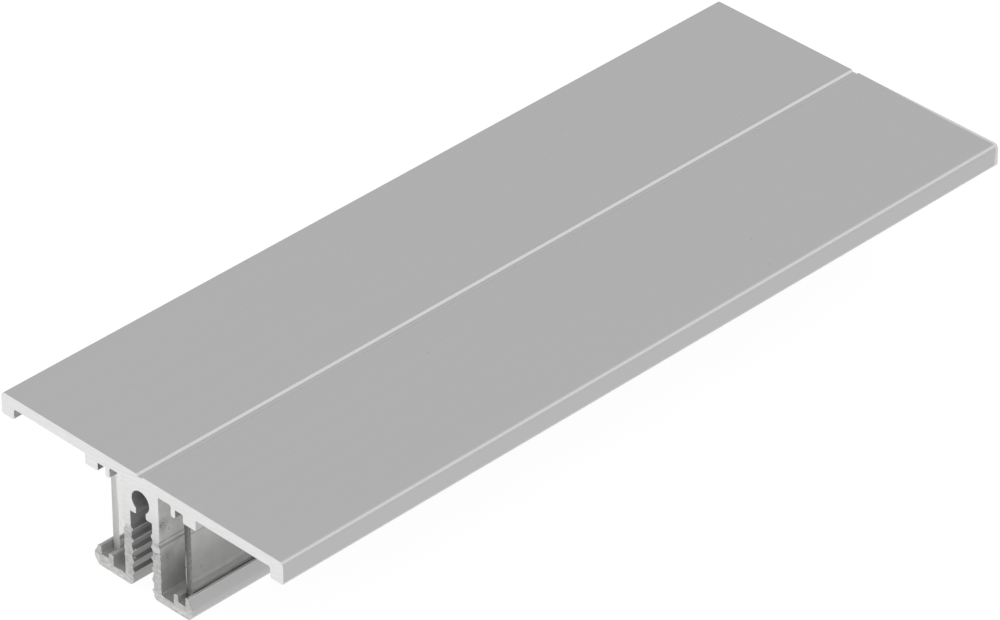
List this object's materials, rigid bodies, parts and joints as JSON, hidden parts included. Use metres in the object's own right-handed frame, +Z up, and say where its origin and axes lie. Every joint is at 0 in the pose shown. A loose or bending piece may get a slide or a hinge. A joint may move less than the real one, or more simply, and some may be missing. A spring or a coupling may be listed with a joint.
{
  "type": "aluminium extrusion profile",
  "caption": "Short length of T-shaped aluminium light profile: lipped plate on a hollow web with a screw port, ribbed screw slot and feet, closed at the sides by clear strips.",
  "frame": {"origin": "on the standing surface, under the middle of the profile", "axes": "+Z up from the feet to the plate, +Y along the extrusion, +X across the plate"},
  "size_m": [0.04, 0.102, 0.014],
  "materials": {
    "anodised_aluminium": "satin",
    "clear_strip": "clear"
  },
  "bodies": {
    "root": {"t_profile_extrusion": "anodised_aluminium", "right_cover_strip": "clear_strip", "left_cover_strip": "clear_strip"}
  },
  "joints": []
}
